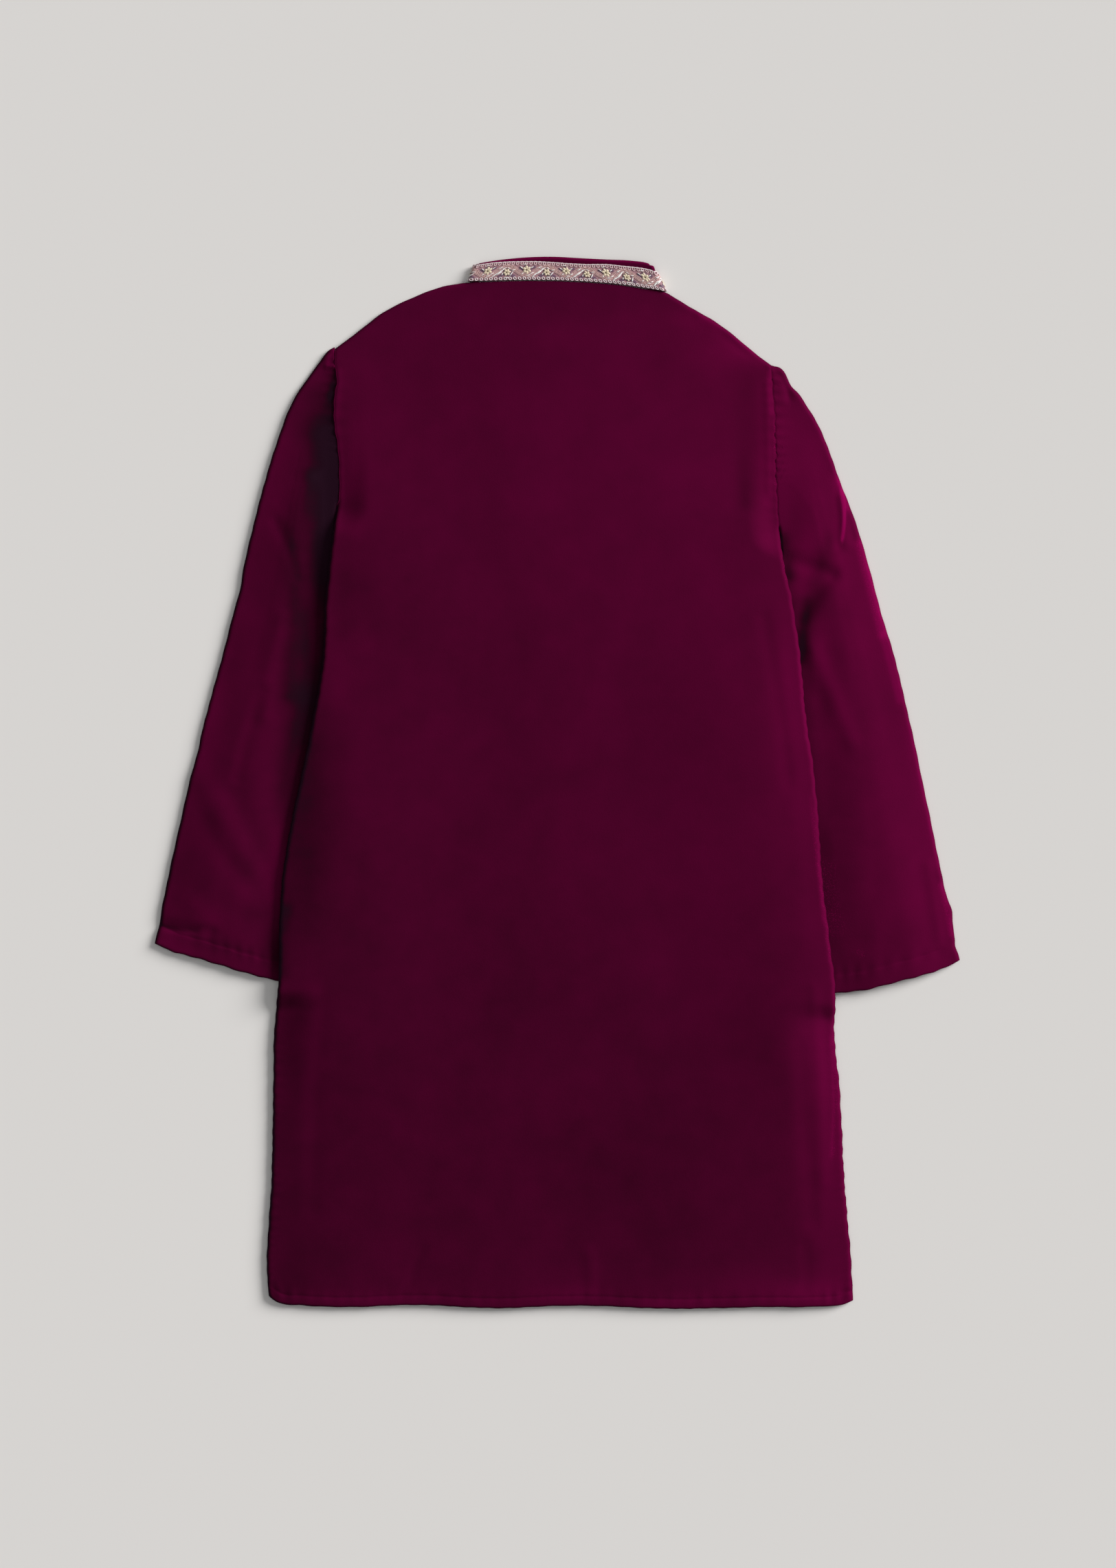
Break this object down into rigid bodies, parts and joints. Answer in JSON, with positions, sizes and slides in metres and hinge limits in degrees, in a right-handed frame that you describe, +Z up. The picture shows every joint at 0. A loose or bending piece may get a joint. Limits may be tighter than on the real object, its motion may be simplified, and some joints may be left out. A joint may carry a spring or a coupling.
{
  "type": "kurta",
  "caption": "Child's long-sleeved velvet kurta with a low band collar edged in flower lace, laid flat on its front with its back up.",
  "frame": {"origin": "centre of the garment's box at the surface it lies on", "axes": "+Y towards the collar along the garment's length, +X towards the sleeve at the picture's right, +Z up out of the back"},
  "size_m": [0.586, 0.7656, 0.0126],
  "materials": {
    "velvet": "deep plum velvet pile",
    "lace": "woven flower lace with pale metallic thread",
    "button": "gloss"
  },
  "bodies": {
    "root": {"back_panel": "velvet", "front_panel": "velvet", "sleeve_left": "velvet", "sleeve_right": "velvet", "collar_band": "velvet", "placket": "velvet", "collar_trim": "lace", "button_1": "button", "button_2": "button", "button_3": "button", "button_4": "button"}
  },
  "joints": []
}
